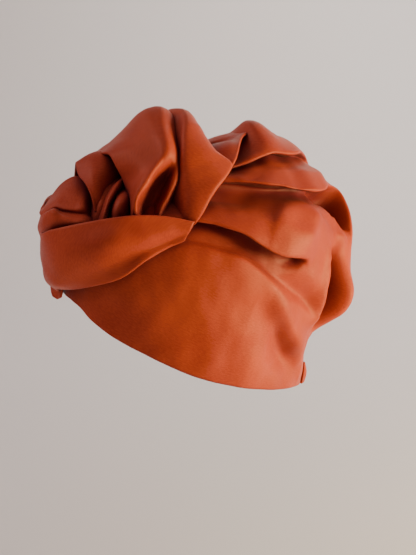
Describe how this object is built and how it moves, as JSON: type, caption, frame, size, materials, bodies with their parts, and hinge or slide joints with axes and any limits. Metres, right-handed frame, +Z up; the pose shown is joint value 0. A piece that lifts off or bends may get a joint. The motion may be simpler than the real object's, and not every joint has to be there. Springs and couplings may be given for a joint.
{
  "type": "turban headwrap",
  "caption": "Pleated satin turban headwrap with a crossed front band and sash and a folded rosette at the front.",
  "frame": {"origin": "middle of the head opening on the hat line, where the head carries the wrap", "axes": "+Z up, the wearer faces -Y, the wearer's left is +X"},
  "size_m": [0.1711, 0.2659, 0.2238],
  "materials": {
    "satin": "burnt orange satin weave, soft sheen"
  },
  "bodies": {
    "root": {"crown_wrap": "satin", "nape_gather": "satin", "front_band": "satin", "crossing_sash": "satin", "rosette_tall_petal": "satin", "rosette_back_petal": "satin", "rosette_left_petal": "satin", "rosette_tab_petal": "satin", "rosette_core_right": "satin", "rosette_core_roll": "satin", "rosette_core_left": "satin", "hem_tab": "satin"}
  },
  "joints": []
}
